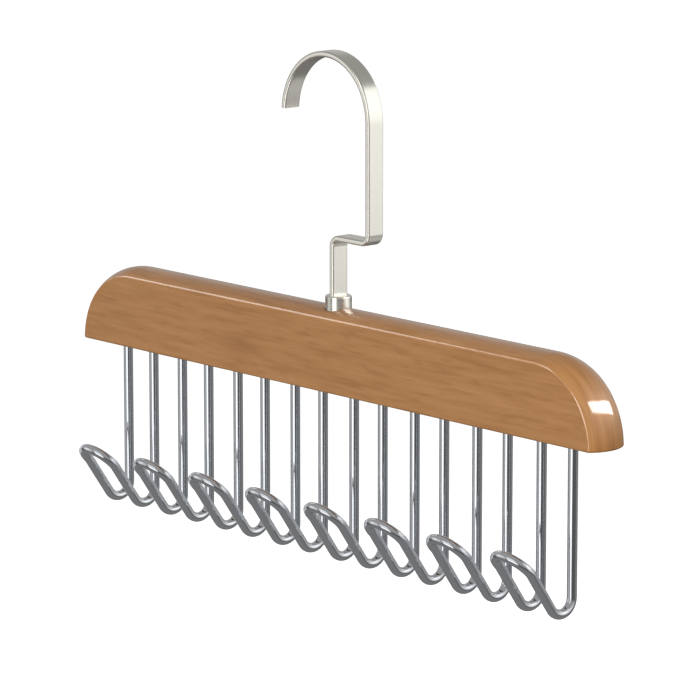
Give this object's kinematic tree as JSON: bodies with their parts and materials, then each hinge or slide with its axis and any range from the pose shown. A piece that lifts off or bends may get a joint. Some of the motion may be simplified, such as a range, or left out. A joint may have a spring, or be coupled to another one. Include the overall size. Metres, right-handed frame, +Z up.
{
  "type": "tie hanger",
  "caption": "Tie hanger: crowned wooden bar on a swivelling flat metal strip hook, with a row of bent hairpin wire hooks below for ties, belts or scarves.",
  "frame": {"origin": "centre of the hook's arch, where the wardrobe rail sits", "axes": "+X along the bar, +Y from front to back, +Z up"},
  "size_m": [0.28, 0.0355, 0.1829],
  "materials": {
    "varnished_wood": "gloss varnish over honey-brown wood",
    "bright_chrome": "bright chrome plate",
    "satin_nickel": "satin pearl nickel plate",
    "zinc_steel": "zinc-plated steel",
    "bush_brass": "turned brass"
  },
  "bodies": {
    "hook": {"strip_hook": "satin_nickel", "collar": "satin_nickel", "swivel_spindle": "zinc_steel", "lock_nut": "zinc_steel"},
    "bar": {"wooden_bar": "varnished_wood", "swivel_bush": "bush_brass", "retaining_washer": "zinc_steel", "wire_hook_1": "bright_chrome", "wire_hook_2": "bright_chrome", "wire_hook_3": "bright_chrome", "wire_hook_4": "bright_chrome", "wire_hook_5": "bright_chrome", "wire_hook_6": "bright_chrome", "wire_hook_7": "bright_chrome", "wire_hook_8": "bright_chrome"}
  },
  "joints": [
    {"name": "hook_swivel", "type": "hinge", "parent": "hook", "child": "bar", "pos_m": [0.0035, 0, -0.0741], "axis": [0, 0, 1], "continuous": true}
  ]
}
